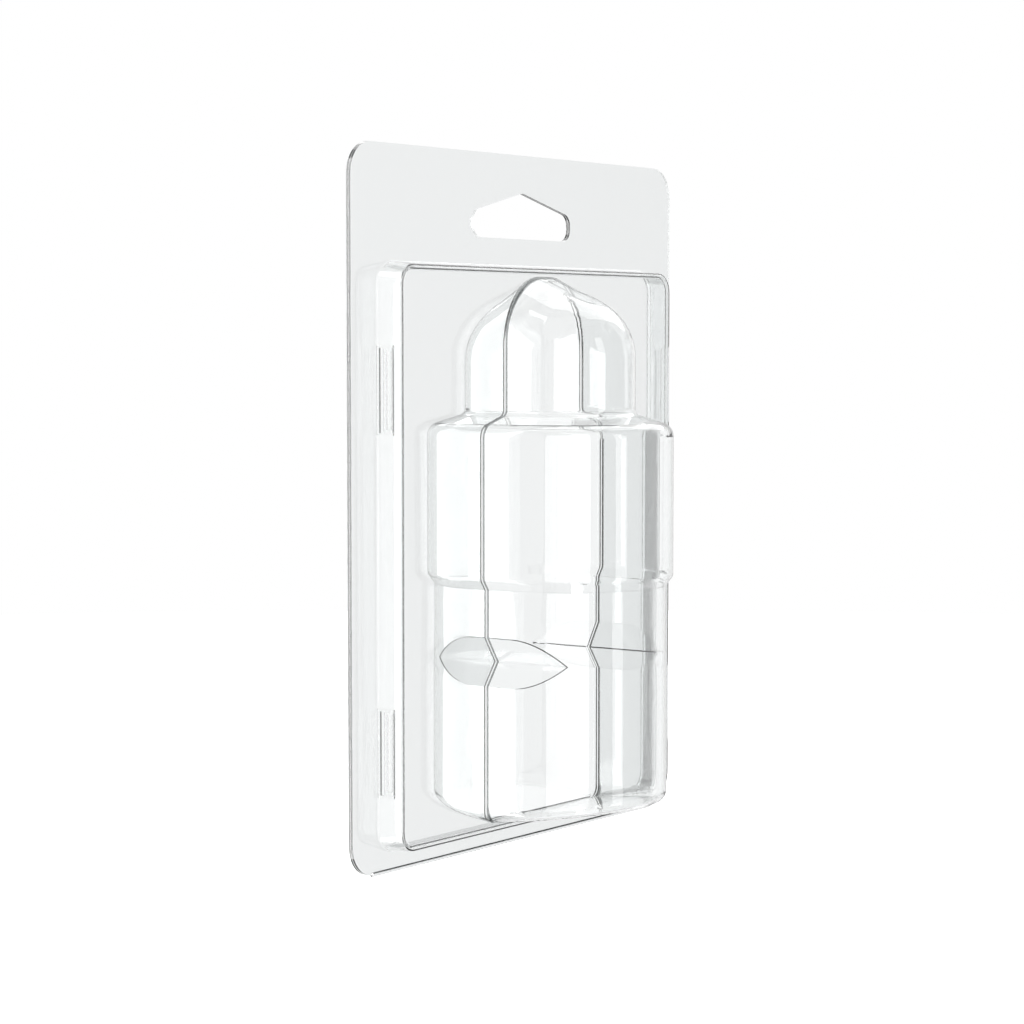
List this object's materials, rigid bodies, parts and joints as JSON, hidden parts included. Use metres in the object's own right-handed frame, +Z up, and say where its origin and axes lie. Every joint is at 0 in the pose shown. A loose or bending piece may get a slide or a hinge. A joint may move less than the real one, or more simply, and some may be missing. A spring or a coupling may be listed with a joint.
{
  "type": "plastic clamshell pack",
  "caption": "Clear plastic clamshell pack: nested flanged shells with a peaked hang hole and a stepped, dome-topped product pocket. The front half folds open along the bottom edge.",
  "frame": {"origin": "the hang point: the peak of the hang hole, on the plane where the two flanges meet", "axes": "+Z up as the pack hangs, -Y out of the front, +X to the right seen from the front"},
  "size_m": [0.105, 0.0496, 0.1334],
  "materials": {
    "clear_plastic": "clear polished thermoformed sheet, 0.4 mm thick"
  },
  "bodies": {
    "back": {"back_shell": "clear_plastic"},
    "front": {"front_shell": "clear_plastic"}
  },
  "joints": [
    {"name": "front_fold", "type": "hinge", "parent": "back", "child": "front", "pos_m": [0, 0, -0.1257], "axis": [1, 0, 0], "range_deg": [0, 180]}
  ]
}
